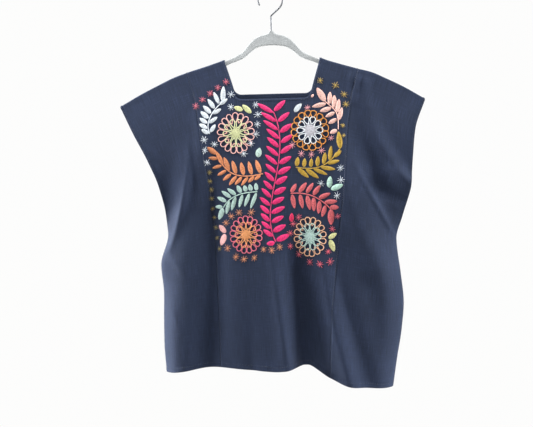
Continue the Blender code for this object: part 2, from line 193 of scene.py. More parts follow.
# Added to the solids' folds: sharp lines and small wrinkles, and broad ones that make
# some of the folds higher, lower or wider
FRONT_WRINKLES = millimetres(
    Crease,
    (-189, -290, -191, -415, -238, -555, 6, 8, 5.5, 7),
    (-178, -330, -178, -420, -206, -540, 16, 16, -1.6, -1.2),
    (-156, -190, -157, -344, -164, -460, 18, 18, 8.5, 3),
    (-196, -310, -202, -430, -236, -550, 18, 16, 9, 8),
    (-142, -330, -130, -540, -132, -840, 14, 34, -6, -11),
    (204, -230, 243, -380, 290, -436, 12, 18, 4, 33),
    (214, -215, 246, -350, 280, -420, 22, 22, -6, 0),
    (112, -330, 162, -470, 215, -600, 28, 32, 17, 18),
    (140, -300, 192, -448, 250, -575, 22, 24, -4, -4),
    (138, -200, 142, -320, 146, -420, 16, 16, 6, 2),
    (154, -350, 216, -476, 260, -556, 5, 6, 4.8, 5.6),
    (180, -260, 228, -425, 266, -520, 26, 26, 8.5, 7),
    (190, -380, 230, -440, 276, -488, 22, 26, 2, 16),
    (-16, -470, 2, -680, 24, -830, 10, 11, 5, 6),
    (66, -470, 90, -680, 108, -840, 20, 22, -8, -12),
    (34, -470, 56, -650, 80, -840, 26, 32, -8, -8),
    (94, -540, 112, -705, 144, -840, 8, 9, 4, 4),
    (130, -520, 168, -700, 206, -850, 26, 30, 11, 25),
    (110, -520, 142, -700, 174, -860, 16, 18, -5, -5),
    (30, -500, 40, -680, 52, -840, 14, 16, -5, -8),
    (168, -176, 166, -200, 162, -240, 5, 6, 3.6, 1.6),
    (183, -178, 180, -204, 174, -250, 5, 7, 4.8, 2.2),
    (202, -184, 200, -214, 198, -262, 6, 10, 4, 2.6),
    (-250, -545, -228, -580, -199, -612, 9, 10, 4, 2),
    (-247, -655, -232, -690, -212, -735, 7, 8, 2, 1.2),
    (-192, -600, -196, -720, -206, -840, 10, 12, 1.8, 2.6),
    (-234, -580, -234, -720, -236, -840, 16, 18, 8, 8),
    (-60, -640, -58, -740, -56, -830, 14, 16, -2, -4),
    (-84, -400, -88, -600, -90, -840, 40, 46, -5, -10),
    (216, -560, 226, -680, 220, -820, 18, 20, 5, 3),
)
BACK_WRINKLES = millimetres(
    Crease,
    (-150, -330, -200, -450, -240, -560, 9, 10, 2.6, 2),
    (156, -330, 200, -450, 244, -570, 9, 10, 2.4, 2),
    (-110, -500, -116, -660, -120, -820, 10, 12, 1.4, 2.6),
    (146, -480, 154, -660, 162, -840, 10, 12, 1.4, 2.6),
    (-196, -190, -206, -220, -222, -250, 7, 8, 1.4, 1),
)
CREASES = {"front": FRONT_CREASES, "back": BACK_CREASES}
WRINKLES = {"front": FRONT_WRINKLES, "back": BACK_WRINKLES}


def through(rows, column, at):
    """A smooth curve through one column of a table, read at the places given."""
    xs = np.array([row[0] for row in rows], float)
    ys = np.array([getattr(row, column) for row in rows], float)
    at = np.clip(np.asarray(at, float), xs[0], xs[-1])
    step = np.diff(ys) / np.diff(xs)
    slope = np.empty_like(ys)
    slope[0], slope[-1] = step[0], step[-1]
    rising = step[:-1] * step[1:] > 0
    mean = 2 * step[:-1] * step[1:] / (step[:-1] + step[1:] + NOT_ZERO)
    slope[1:-1] = np.where(rising, mean, 0)
    k = np.clip(np.searchsorted(xs, at, side="right") - 1, 0, len(xs) - 2)
    width = xs[k + 1] - xs[k]
    t = (at - xs[k]) / width
    return hermite(t, ys[k], ys[k + 1], width * slope[k], width * slope[k + 1])


def hermite(t, start, end, slope_start, slope_end):
    t = np.clip(t, 0, 1)
    return (
        start * (1 + 2 * t) * (1 - t) ** 2
        + end * t**2 * (3 - 2 * t)
        + t * (1 - t) * (slope_start * (1 - t) - slope_end * t)
    )


def ease(t):
    t = np.clip(t, 0, 1)
    return t * t * (3 - 2 * t)


def by_side(rows, column, u, at):
    """A table's curve for the left or the right of the garment, by the sign of u."""
    left, right = through(rows, f"left_{column}", at), through(rows, f"right_{column}", at)
    return np.where(u < 0, left, right)


def fold_radius(u):
    """Outer radius of the shoulder fold, wide over the hanger and narrow past its tips."""
    past_tip = ease((np.abs(u) - HANGER_TIP) / TIP_FADE)
    return FOLD_OVER_HANGER + (FOLD_OF_SLEEVE - FOLD_OVER_HANGER) * past_tip


def shoulder_height(u):
    return by_side(SHOULDER, "crest", u, np.abs(u))


def neck_flare(u, share):
    """The straps spread at the top, where the hanger's slope pulls them outwards."""
    neck_share = (NECK_FRONT - FOLD_ARC) / (LENGTH - FOLD_ARC)
    up = np.clip(1 - share / neck_share, 0, 1)
    across = np.clip((CENTRE_HALF - np.abs(u)) / (CENTRE_HALF - NECK_HALF), 0, 1)
    return np.sign(u) * NECK_FLARE * up * across


def sideways(u, share):
    """X of the thread u at a share of the way down, read between the edges and the seams."""
    a = np.abs(u)
    edge = by_side(OUTLINE, "edge", u, share)
    seam = by_side(OUTLINE, "seam", u, share)
    sign = np.where(u < 0, -1, 1)
    centre = through(OUTLINE, "centre", share) * sign
    span = CLOTH_HALF - CENTRE_HALF
    inner_slope = (seam - centre) / CENTRE_HALF
    outer_slope = (edge - seam) / span
    at_seam = 2 * inner_slope * outer_slope / (inner_slope + outer_slope)
    inner = hermite(a / CENTRE_HALF, centre, seam, inner_slope * CENTRE_HALF, at_seam * CENTRE_HALF)
    outer = hermite((a - CENTRE_HALF) / span, seam, edge, at_seam * span, outer_slope * span)
    return sign * np.where(a < CENTRE_HALF, inner, outer) + neck_flare(u, share)


def crease_lift(x, z, creases):
    """How far the folds move the cloth outwards at a place seen from the front."""
    lift = np.zeros_like(x)
    for c in creases:
        upper = ease((c.z_top - z) / (c.z_top - c.z_mid))
        lower = ease((c.z_mid - z) / (c.z_mid - c.z_low))
        t = np.clip((c.z_top - z) / (c.z_top - c.z_low), 0, 1)
        m = (c.z_top - c.z_mid) / (c.z_top - c.z_low)
        bulge = (c.x_mid - c.x_top - (c.x_low - c.x_top) * m) / (m * (1 - m))
        line = c.x_top + (c.x_low - c.x_top) * t + bulge * t * (1 - t)
        lean = (c.x_low - c.x_top + bulge * (1 - 2 * t)) / (c.z_top - c.z_low)
        width = c.width_top + (c.width_low - c.width_top) * t
        off = (x - line) / np.sqrt(1 + lean**2)
        height = c.lift_mid * upper + (c.lift_low - c.lift_mid) * lower
        past_end = np.exp(-((np.maximum(c.z_low - z, 0) / width) ** 2))
        lift += height * past_end * np.exp(-((off / width) ** 2))
    return lift


def depth(u, share, x, z, side):
    """How far the cloth stands off the hanger's plane."""
    s = np.clip(np.abs(u) / CLOTH_HALF, 0, 1)
    underarm = (UNDERARM - FOLD_ARC) / (LENGTH - FOLD_ARC)
    hollow = BODY_DEPTH[side] * np.maximum(share, 0) ** HOLLOW_GROWTH
    closing = (share - FOLD_CLOSES * underarm) / ((1 - FOLD_CLOSES) * underarm)
    fold = fold_radius(u) * np.sqrt(1 - ease(closing))
    gape = ARMHOLE_GAPE * np.sin(np.pi * np.clip(share / underarm, 0, 1)) * s**4
    base = np.sqrt(fold**2 + hollow**2 * (1 - s**SIDE_ROUNDING) + gape**2)
    closed = ease(share / underarm)
    near_edge = 1 - closed * s**CREASE_EDGE_FADE
    folds = crease_lift(x, z, CREASES[side]) * near_edge * ease(share / CREASE_FADE_IN)
    folds += crease_lift(x, z, WRINKLES[side]) * near_edge * ease(share / WRINKLE_FADE_IN)
    least = np.where(share < underarm, fold, LEAST_DEPTH * base)
    return np.maximum(base + folds, least)


def cloth_points(u, v):
    """The outer face of the hanging cloth at woven place (u, v), as an array of points."""
    u, v = np.broadcast_arrays(np.asarray(u, float), np.asarray(v, float))
    share = (np.abs(v) - FOLD_ARC) / (LENGTH - FOLD_ARC)
    on_panel = np.clip(share, 0, 1)
    radius = fold_radius(u)
    crest = shoulder_height(u)
    front = v >= 0
    hem = np.where(front, through(HEM, "front", u), through(HEM, "back", u))
    x = sideways(u, on_panel)
    z = (crest - radius) + (hem - crest + radius) * on_panel
    out = np.where(
        front, depth(u, on_panel, x, z, "front"), depth(u, on_panel, x, z, "back")
    )
    y = np.where(front, -out, out)
    turn = np.clip(v / FOLD_ARC, -1, 1) * math.pi / 2
    in_fold = share < 0
    y = np.where(in_fold, -radius * np.sin(turn), y)
    z = np.where(in_fold, crest - radius + radius * np.cos(turn), z)
    return np.stack([x, y, z], axis=-1)


def on_cloth(u, v, height):
    """Points at a height above the cloth's outer face."""
    inside_u = np.clip(u, -CLOTH_HALF + NORMAL_STEP, CLOTH_HALF - NORMAL_STEP)
    here = cloth_points(u, v)
    across = cloth_points(inside_u + NORMAL_STEP, v) - cloth_points(inside_u - NORMAL_STEP, v)
    down = cloth_points(u, v + NORMAL_STEP) - cloth_points(u, v - NORMAL_STEP)
    normal = np.cross(across, down)
    normal /= np.linalg.norm(normal, axis=-1, keepdims=True)
    away = np.where(v >= 0, -1.0, 1.0)
    flip = np.where(normal[..., 1] * away < 0, -1.0, 1.0)
    crest = np.abs(v) < FOLD_ARC
    flip = np.where(crest & (np.abs(normal[..., 2]) > STEEP), np.sign(normal[..., 2]), flip)
    return here + normal * (flip * height)[..., None]


def on_front(x, z, height):
    """Points at a height above the front, at a place given as seen from the front."""
    u = np.asarray(x, float) * FIRST_GUESS
    for _ in range(SEARCH_STEPS):
        crest = shoulder_height(u) - fold_radius(u)
        hem = through(HEM, "front", u)
        share = np.clip((crest - z) / (crest - hem), 0, 1)
        u = np.clip(u + SEARCH_PACE * (x - sideways(u, share)), -CLOTH_HALF, CLOTH_HALF)
    v = FOLD_ARC + share * (LENGTH - FOLD_ARC)
    return on_cloth(u, v, height)


# Materials

THREADS = 220.0  # scale of the weave's waves, across a metre of cloth


def linear(hexadecimal):
    """A display colour as the linear values that a shader takes."""
    parts = [int(hexadecimal[k : k + 2], 16) / 255 for k in (0, 2, 4)]
    return tuple(c / 12.92 if c <= 0.04045 else ((c + 0.055) / 1.055) ** 2.4 for c in parts)


class Nodes:
    """Short calls for building the node tree of a material or a world."""

    def __init__(self, owner, shader="Principled BSDF"):
        owner.use_nodes = True
        self.owner = owner
        self.tree = owner.node_tree
        self.shader = self.tree.nodes[shader]

    def feed(self, node, inputs):
        """Gives a node's inputs their values, or links them to the outputs of others."""
        for key, value in inputs.items():
            if isinstance(value, bpy.types.NodeSocket):
                self.tree.links.new(value, node.inputs[key])
            else:
                node.inputs[key].default_value = value

    def add(self, kind, inputs, output, **settings):
        node = self.tree.nodes.new(kind)
        for key, value in settings.items():
            setattr(node, key, value)
        self.feed(node, inputs)
        return node.outputs[output]

    def set(self, **values):
        """Feeds the shader. An underscore stands for a space in an input's name."""
        self.feed(self.shader, {key.replace("_", " "): value for key, value in values.items()})

    def coordinates(self, output, scale=(1, 1, 1)):
        source = self.add("ShaderNodeTexCoord", {}, output)
        return self.add("ShaderNodeMapping", {"Vector": source, "Scale": scale}, "Vector")

    def noise(self, vector, scale=1.0, detail=3.0):
        inputs = {"Vector": vector, "Scale": scale, "Detail": detail, "Roughness": 0.6}
        return self.add("ShaderNodeTexNoise", inputs, "Fac")

    def wave(self, vector, direction, scale):
        inputs = {"Vector": vector, "Scale": scale, "Distortion": 0.6}
        inputs |= {"Detail": 1.0, "Detail Scale": 2.0}
        return self.add("ShaderNodeTexWave", inputs, "Fac", bands_direction=direction)

    def math(self, operation, first, second):
        return self.add("ShaderNodeMath", {0: first, 1: second}, "Value", operation=operation)

    def total(self, *terms):
        """The sum of terms, each a value and its weight."""
        parts = [self.math("MULTIPLY", value, weight) for value, weight in terms]
        while len(parts) > 1:
            parts[:2] = [self.math("ADD", *parts[:2])]
        return parts[0]

    def colour(self, factor, *stops):
        """Colours the shader by a ramp of positions and linear colours."""
        node = self.tree.nodes.new("ShaderNodeValToRGB")
        marks = node.color_ramp.elements
        while len(marks) < len(stops):
            marks.new(0.5)
        for mark, (position, colour) in zip(marks, stops):
            mark.position = position
            mark.color = (*colour, 1)
        self.feed(node, {"Fac": factor})
        self.set(Base_Color=node.outputs["Color"])

    def bump(self, height, strength, distance):
        inputs = {"Height": height, "Strength": strength, "Distance": distance}
        self.set(Normal=self.add("ShaderNodeBump", inputs, "Normal"))


def new_nodes(name):
    return Nodes(bpy.data.materials.new(name))


def cloth_material():
    """Navy handwoven cotton: plain weave, slubs along both threads, a faint bluish sheen."""
    nodes = new_nodes("navy_cotton")
    warp = nodes.noise(nodes.coordinates("UV", (900, 26, 1)))
    weft = nodes.noise(nodes.coordinates("UV", (30, 700, 1)))
    cloud = nodes.noise(nodes.coordinates("UV", (9, 7, 1)), detail=2.0)
    mixed = nodes.total((warp, 0.55), (weft, 0.30), (cloud, 0.15))
    nodes.colour(
        mixed, (0.32, linear("171f2e")), (0.52, linear("202a40")), (0.72, linear("2f3b57"))
    )
    threads = nodes.coordinates("UV")
    across = nodes.wave(threads, "X", THREADS)
    down = nodes.wave(threads, "Y", THREADS)
    weave = nodes.math("MAXIMUM", across, down)
    nodes.bump(nodes.total((weave, 0.5), (mixed, 1.0)), strength=0.55, distance=0.0006)
    nodes.set(Roughness=0.88, Specular_IOR_Level=0.25)
    nodes.set(Sheen_Weight=0.22, Sheen_Roughness=0.40, Sheen_Tint=(*linear("a9bce6"), 1))
    return nodes.owner


def thread_material(name, colour):
    """Stranded embroidery cotton: a soft lustre, small random changes of tone, and painted shade
    where the shade attribute darkens the rows between raised strands and the narrow parts of chain
    links.
    """
    nodes = new_nodes(name)
    vector = nodes.coordinates("Object")
    mottle = nodes.noise(vector, scale=420.0, detail=4.0)
    tone_and_painted_shade = nodes.add("ShaderNodeAttribute", {}, "Fac", attribute_name="shade")
    base = linear(colour)
    # Painted shade: the near-black shadow stop and the dark stop colour the low rows between strands
    # and the narrow parts of links, mixed with random mottle. The light stop colours the raised
    # strands, which are painted lighter.
    shadow = tuple(0.10 * c for c in base)
    dark = tuple(0.66 * c for c in base)
    light = tuple(min(1.0, 1.12 * c + 0.01) for c in base)
    shade = nodes.math("MULTIPLY", mottle, tone_and_painted_shade)
    nodes.colour(shade, (0.05, shadow), (0.36, dark), (0.68, light))
    fuzz = nodes.noise(vector, scale=2600.0, detail=2.0)
    nodes.bump(fuzz, strength=0.35, distance=0.0003)
    nodes.set(Roughness=0.62, Specular_IOR_Level=0.35, Sheen_Weight=0.25, Sheen_Roughness=0.4)
    return nodes.owner


def flock_material():
    """Grey flocking: a dense short nap, a little uneven in its shade."""
    nodes = new_nodes("grey_flocking")
    vector = nodes.coordinates("Object")
    nap = nodes.noise(vector, scale=1500.0, detail=4.0)
    worn = nodes.noise(vector, scale=26.0, detail=2.0)
    mixed = nodes.total((nap, 0.4), (worn, 0.6))
    nodes.colour(mixed, (0.30, linear("8d9091")), (0.70, linear("a6aaab")))
    nodes.bump(nap, strength=0.06, distance=0.0002)
    nodes.set(Roughness=0.95, Specular_IOR_Level=0.10, Sheen_Weight=0.08, Sheen_Roughness=0.5)
    return nodes.owner


def wire_material():
    """Bright plated wire with faint drawing marks."""
    nodes = new_nodes("bright_wire")
    marks = nodes.noise(nodes.coordinates("Object", (300, 300, 60)))
    nodes.colour(marks, (0.3, linear("84878c")), (0.7, linear("9a9da2")))
    nodes.bump(marks, strength=0.08, distance=0.0002)
    nodes.set(Metallic=1.0, Roughness=0.34)
    return nodes.owner


def placed(name, data):
    """A new object in the scene."""
    made = bpy.data.objects.new(name, data)
    bpy.context.scene.collection.objects.link(made)
    return made


# Meshes


def new_piece(name, points, faces, material, places=None, shades=None):
    """A mesh piece that rides with the object, with each point's woven place or shade."""
    mesh = bpy.data.meshes.new(name)
    mesh.from_pydata([tuple(p) for p in points], [], faces)
    mesh.materials.append(material)
    mesh.shade_smooth()
    if places is not None:
        layer = mesh.uv_layers.new(name="woven")
        corners = np.empty(len(mesh.loops), int)
        mesh.loops.foreach_get("vertex_index", corners)
        layer.data.foreach_set("uv", np.asarray(places)[corners].ravel())
    # The shade attribute carries random tone and painted shade between strands and links.
    if shades is not None:
        mesh.attributes.new("shade", "FLOAT", "POINT").data.foreach_set("value", shades)
    piece = placed(name, mesh)
    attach(piece, "root")
    return piece


def quads(number):
    """The four-sided faces of a grid of point numbers, one row for each."""
    corners = (number[:-1, :-1], number[:-1, 1:], number[1:, 1:], number[1:, :-1])
    return np.stack(corners, axis=-1).reshape(-1, 4)


class Threads:
    """Raised shapes in flat coordinates (a, b, height), laid on the cloth as one piece."""

    def __init__(self):
        self.points = []
        self.shades = []
        self.faces = []
        self.count = 0

    def add(self, points, faces, shade=1.0):
        self.points.append(np.asarray(points, float).reshape(-1, 3))
        self.faces += [tuple(self.count + int(k) for k in face) for face in faces]
        self.count += len(self.points[-1])
        self.shades.append(np.broadcast_to(shade, len(self.points[-1])))

    def tube(self, path, radius, sides=6, closed=False, flatten=0.8, shade=1.0):
        """A thread along path, an array of (a, b, height), with a radius for each point."""
        path = np.asarray(path, float)
        radius = np.broadcast_to(np.asarray(radius, float), len(path))
        if closed:
            tangent = np.roll(path, -1, axis=0) - np.roll(path, 1, axis=0)
        else:
            tangent = np.gradient(path, axis=0)
        side = np.stack([-tangent[:, 1], tangent[:, 0]], axis=1)
        side /= np.maximum(np.linalg.norm(side, axis=1, keepdims=True), TINY)
        angle = np.arange(sides) * 2 * math.pi / sides
        flat = path[:, None, :2] + side[:, None, :] * (radius[:, None] * np.cos(angle))[..., None]
        high = path[:, None, 2] + flatten * radius[:, None] * np.sin(angle)
        rings = np.concatenate([flat, high[..., None]], axis=2)
        number = np.arange(len(path) * sides).reshape(-1, sides)
        wrapped = np.hstack([number, number[:, :1]])
        if closed:
            self.add(rings, quads(np.vstack([wrapped, wrapped[:1]])), shade)
        else:
            self.add(rings, [*quads(wrapped), number[0, ::-1], number[-1]], shade)

    def piece(self, name, material, slot, place):
        flat = np.concatenate(self.points)
        points = place(flat[:, 0], flat[:, 1], flat[:, 2])
        shades = np.concatenate(self.shades)
        return new_piece(name, points, self.faces, material, shades=shades)


def spaced(start, end, pitch):
    """Places from start to end, about a pitch apart."""
    count = max(1, round(abs(end - start) / pitch))
    return np.linspace(start, end, count + 1)


def steps(start, end, cell):
    """Places after start up to end, about a cell apart."""
    return spaced(start, end, cell)[1:].tolist()


def turned_lines(edge):
    """Grid lines at the inner end of the neck's turned edge."""
    line = edge + NECK_HEM
    return [line - NECK_STEP, line, line + NECK_STEP]


def panel_rows():
    """Rows from the back's hem to the front's, fine at the fold, the neck's edge and the hems."""
    hem_rows = [LENGTH - HEM_WIDTH - HEM_STEP, LENGTH - HEM_WIDTH, LENGTH - NECK_STEP, LENGTH]

    def down(neck):
        turned = turned_lines(neck)
        return (
            steps(0, FOLD_ARC, FOLD_ARC / ARC_ROWS)
            + steps(FOLD_ARC, neck, CELL)
            + turned
            + steps(turned[-1], UNDERARM, CELL)
            + steps(UNDERARM, hem_rows[0], CELL)
            + hem_rows[1:]
        )

    front = down(NECK_FRONT)
    back = down(NECK_BACK)
    return [-v for v in reversed(back)] + [0.0] + front


def round_neck(u, v):
    """Bends the grid round the neck hole's corners. The bend fades out away from the hole."""
    for neck, sign in ((NECK_FRONT, 1), (NECK_BACK, -1)):
        a = np.abs(u) - NECK_HALF
        b = sign * v - neck
        ring = np.maximum(a, b)
        s = np.clip((b - a) / NECK_CORNER, -1, 1)
        angle = (1 + s) * math.pi / 4
        sharp_a = np.minimum(0, -s) * NECK_CORNER
        sharp_b = np.minimum(0, s) * NECK_CORNER
        shift_a = NECK_CORNER * (np.cos(angle) - 1) - sharp_a
        shift_b = NECK_CORNER * (np.sin(angle) - 1) - sharp_b
        fade = np.where(ring > -TINY, np.clip(1 - ring / CORNER_FADE, 0, 1), 0)
        fade = fade * (sign * v > 0)
        u = u + np.sign(u) * fade * shift_a
        v = v + sign * fade * shift_b
    return u, v


def neck_distance(u, v):
    """Distance outside the neck hole's edge, in the woven cloth."""
    neck = np.where(v >= 0, NECK_FRONT, NECK_BACK)
    a = np.abs(u) - NECK_HALF + NECK_CORNER
    b = np.abs(v) - neck + NECK_CORNER
    outside = np.hypot(np.maximum(a, 0), np.maximum(b, 0))
    return np.where(np.maximum(a, b) > 0, outside, np.maximum(a, b)) - NECK_CORNER


def hem_rise(u, v, with_neck):
    """The turned edges lie a little proud of the single cloth."""
    rise = HEM_RISE * ease((np.abs(v) - LENGTH + HEM_WIDTH + HEM_STEP) / HEM_STEP)
    if with_neck:
        inside = NECK_HEM + NECK_STEP - neck_distance(u, v)
        rise = np.maximum(rise, HEM_RISE * ease(inside / NECK_STEP))
    return rise


def shell(side, material, u, v, kept, joined):
    """A fine grid of cloth over one solid, thickened inwards."""
    rows, columns = u.shape
    rise = hem_rise(u, v, side == "centre")
    points = on_cloth(u, v, rise - HEM_RISE).reshape(-1, 3)
    edge = np.abs(np.abs(u) - CLOTH_HALF).ravel() < ON_EDGE
    points[edge] = cloth_points(u, v).reshape(-1, 3)[edge]
    number = np.arange(rows * columns).reshape(rows, columns)
    for i, j, source in joined:
        number[i, j] = number[source, j]
    used, compact = np.unique(quads(number)[kept], return_inverse=True)
    faces = compact.reshape(-1, 4)
    woven = np.stack([u.ravel(), v.ravel()], axis=1)[used]
    cloth = f"{side}_cloth"
    piece = new_piece(cloth, points[used], faces.tolist(), material, woven)
    face_outwards(piece.data)
    wall = piece.modifiers.new("sheet", "SOLIDIFY")
    wall.thickness = SHEET
    wall.offset = -1
    wall.use_even_offset = True
    wall.use_quality_normals = True
    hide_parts(f"{side}_panel")


def face_outwards(mesh):
    """Turns the faces of a cloth so that they look away from the hanger's plane."""
    build = bmesh.new()
    build.from_mesh(mesh)
    bmesh.ops.recalc_face_normals(build, faces=build.faces)
    outward = sum(
        face.normal.y * face.calc_center_median().y * face.calc_area() for face in build.faces
    )
    if outward < 0:
        bmesh.ops.reverse_faces(build, faces=build.faces)
    build.to_mesh(mesh)
    build.free()


def centre_cloth(material):
    turned = turned_lines(NECK_HALF)
    half = [NECK_HALF] + turned + steps(turned[-1], CENTRE_HALF, CELL)
    inner = steps(-NECK_HALF, NECK_HALF, CELL)[:-1]
    across = [-u for u in reversed(half)] + inner + half
    rows = panel_rows()
    u, v = np.meshgrid(across, rows)

    middle_u = (u[1:, 1:] + u[:-1, :-1]) / 2
    middle_v = (v[1:, 1:] + v[:-1, :-1]) / 2
    in_neck = (np.abs(middle_u) < NECK_HALF) & (-NECK_BACK < middle_v) & (middle_v < NECK_FRONT)
    u, v = round_neck(u, v)
    shell("centre", material, u, v, ~in_neck.ravel(), [])


def side_cloth(name, sign, material):
    """A side panel. Below the armhole its front and back share the points of their edge."""
    inner = CENTRE_HALF + SEAM_GAP
    count = round((CLOTH_HALF - inner) / CELL)
    fill = np.linspace(0, 1, count + 1)
    across = sign * (inner + (CLOTH_HALF - inner) * (1 - (1 - fill) ** EDGE_CROWDING))
    rows = panel_rows()
    u, v = np.meshgrid(across, rows)
    last = len(across) - 1
    back = [k for k, row in enumerate(rows) if row < 0]
    joined = []
    for i, down in enumerate(rows):
        if down > UNDERARM - TINY:
            nearest = min(back, key=lambda k: abs(rows[k] + down))
            joined.append((i, last, nearest))
    shell(name, material, u, v, slice(None), joined)


# Embroidery


OUTER_REACH = 0.975  # outer end of the outer petals, as a share of the flower's radius
INNER_REACH = 0.67
LOOP_THREAD = 0.00092
LOOP_ROOT = 0.34  # how full a petal is at its root, beside a plain oval
LOOP_WIDEST = 0.76  # brings a petal's greatest width close to the stated one
DISC_STITCHES = 52
DISC_STEPS = 6
DISC_START = 1.5
MOUND_RINGS = 8
MOUND_SPOKES = 32
MOUND_REACH = 0.82
MOUND_HEIGHT = 0.0018
STEM_THREAD = 0.0010
STEM_STEPS = 110
LEAF_STRAND = 0.00085
LEAF_COLUMNS = 7
LEAF_SLANT = 0.9
LEAF_CROWN = 0.0011
LEAF_RIDGE = 0.00034
LEAF_CLEAR = 0.0026
LEAF_ENDS = (0.004, 0.996)
LEAF_SINK = 0.0001
LEAF_RAGGED = 0.035  # unevenness of a leaf's outline, as a share of its width
CHAIN_LINK = 0.0026
CHAIN_SWELL = 0.16
CHAIN_SIDES = 6
CHAIN_TIP = 0.45  # thickness at an open end, as a share
CHAIN_TAPER = 2.5  # length of the taper at an open end, in radii
STAR_THREAD = 0.00050
STAR_STITCHES = 4

SPRIGS = table(
    "Sprig",
    "name colour x0 z0 x1 z1 x2 z2 x3 z3 tip_angle tip_length tip_width stem_shade end_shade",
    ("vine", "ec2a78", -1.5, -545, -9, -460, 10, -365, 0, -267, 0, 0, 0, 0.66, 1.0),
    ("white_sprig", "dae2e9", -138, -310, -141, -286, -130, -262, -109, -241, 86, 34, 11, 1.0, 1.0),
    ("peach_sprig", "f0c0b4", 137, -311, 136, -280, 127, -264, 111, -249, 119, 34, 14, 1.0, 1.0),
    ("orange_sprig", "ea9666", -25, -399, -65, -403, -99, -391, -125, -353, 142, 24, 11, 0.86, 0.74),
    ("mustard_sprig", "bd9a34", 45, -388, 79, -391, 110, -382, 140, -351, 94, 36, 12, 0.96, 1.0),
    ("mint_sprig", "b2cfc7", -38, -437, -65, -439, -92, -448, -114, -470, 246, 27, 12, 1.0, 1.0),
    ("coral_sprig", "d9686e", 32, -443, 64, -445, 92, -457, 117, -479, 268, 33, 14, 1.0, 1.0),
)
SIDES = table(
    "Side",
    "sprig count first last angle0 angle1 angle2 length0 length1 length2 width",
    ("vine", 16, 0.045, 0.99, 143, 136, 149, 24, 31, 39, 9.4),
    ("vine", 14, 0.01, 1.00, 23, 28, 40, 30, 32, 33, 11.2),
    ("white_sprig", 7, 0.00, 0.90, 150, 138, 114, 18, 24, 29, 9.5),
    ("white_sprig", 4, 0.03, 0.88, 56, 30, 38, 22, 22, 23, 8.5),
    ("peach_sprig", 4, 0.16, 0.83, 72, 82, 88, 31, 31, 27, 10.0),
    ("peach_sprig", 5, 0.00, 0.92, 202, 200, 190, 18, 23, 33, 9.5),
    ("orange_sprig", 6, 0.04, 0.80, 106, 103, 114, 33, 30, 35, 9.5),
    ("orange_sprig", 9, 0.03, 0.93, 216, 226, 172, 17, 25, 20, 7.6),
    ("mustard_sprig", 6, 0.01, 0.74, 78, 81, 79, 22, 21, 33, 9.0),
    ("mustard_sprig", 6, 0.02, 0.83, -45, -20, 40, 30, 33, 22, 9.0),
    ("mint_sprig", 4, 0.03, 0.42, 96, 105, 119, 18, 15, 18, 9.5),
    ("mint_sprig", 4, 0.55, 0.98, 142, 146, 176, 24, 26, 17, 9.0),
    ("mint_sprig", 5, 0.02, 0.76, 246, 252, 255, 35, 30, 31, 8.6),
    ("coral_sprig", 4, 0.00, 0.50, 57, 53, 54, 24, 26, 25, 9.5),
    ("coral_sprig", 3, 0.64, 0.94, 23, 2, -3, 29, 27, 20, 9.5),
    ("coral_sprig", 6, 0.03, 0.86, -83, -84, -108, 32, 31, 27, 9.8),
)
FLOWERS = table(
    "Flower",
    "name x z wide tall outer outer_long outer_wide inner inner_long inner_wide disc "
    "outer_colour inner_colour disc_colour",
    ("flower_1", -82, -310, 41, 45, 17, 21, 11.5, 10, 18, 11, 11, "e8b2ac", "d2d8a8", "ced29e"),
    ("flower_2", 77, -310, 41, 44, 16, 14.5, 13.5, 10, 16, 12, 13.5, "d28a30", "dbe2e8", "c3c2ca"),
    ("flower_3", -65, -528, 36, 41, 17, 17, 10.8, 10, 15, 10.5, 10.5, "d4687e", "e29c66", "e59c62"),
    ("flower_4", 71, -536, 35, 43, 16, 16, 11, 10, 16, 10.5, 11.5, "e0ae8c", "b0cec8", "b2cec8"),
)
STAR_RUNS = table(
    "StarRun",
    "colour count x0 z0 x1 z1 x2 z2 size",
    ("d4687a", 5, -101, -200, -137, -221, -167, -249, 15),
    ("b89c46", 4, 103, -203, 143, -226, 156, -257, 16),
    ("b89c46", 2, 148, -304, 148, -313, 147, -323, 9),
    ("d6dfe6", 2, -92, -227, -93, -240, -91, -253, 15),
    ("d6dfe6", 6, -39, -251, -36, -302, -65, -356, 15),
    ("d6dfe6", 2, -149, -321, -140, -325, -129, -331, 15),
    ("d6dfe6", 2, -148, -345, -147, -358, -144, -372, 15),
    ("8a7a3e", 9, -141, -394, -137, -470, -126, -557, 11),
    ("dc9468", 4, -52, -482, -88, -484, -108, -502, 14),
    ("dc9468", 5, -107, -555, -70, -581, -27, -561, 15),
    ("dc9468", 2, -10, -563, -3, -560, 5, -556, 14),
    ("e6a0a8", 1, 72, -261, 72, -261, 72, -261, 15),
    ("e6a0a8", 5, 39, -341, 78, -363, 122, -329, 14),
    ("d6dfe6", 3, 140, -392, 140, -419, 131, -451, 15),
    ("d6dfe6", 1, 97, -423, 97, -423, 97, -423, 15),
    ("d4586c", 4, 48, -493, 31, -517, 28, -556, 13),
    ("d4586c", 4, 46, -574, 80, -593, 113, -590, 15),
    ("d4586c", 3, 109, -569, 118, -520, 132, -493, 13),
)
SINGLES = table(
    "Single",
    "colour x z angle length width",
    ("dfe2a6", -66, -261, 157, 20, 11),
    ("d5dba0", -48, -268, 134, 26, 11),
    ("d2dbe2", 45, -269, 48, 23, 11),
    ("f6c3b8", 82, -239, 50, 8, 5),
    ("c3ddd4", -36, -363, 76, 20, 13),
    ("b9dfcf", 114, -433, 82, 24, 12),
    ("b9dfcf", 118, -437, 20, 27, 12),
    ("f0b3b0", -110, -523, 132, 22, 12),
    ("f4b7b4", -111, -526, 245, 27, 13),
    ("e0e0a2", 110, -540, 30, 20, 10),
    ("dfe0a0", 113, -543, -72, 26, 12),
    ("e02860", 32, -503, 83, 18, 10),
    ("ec2a78", -4, -546, 188, 17, 10),
)


def bow(start, middle, end, at):
    """A smooth value that passes through three given ones."""
    return (
        start * (1 - at) * (1 - 2 * at) + middle * 4 * at * (1 - at) + end * at * (2 * at - 1)
    )


def leaf_width(t):
    """Half outline of a leaf: blunt at its base and narrower at its tip."""
    return np.sin(math.pi * np.clip(t, 0, 1) ** 0.84) ** 0.60


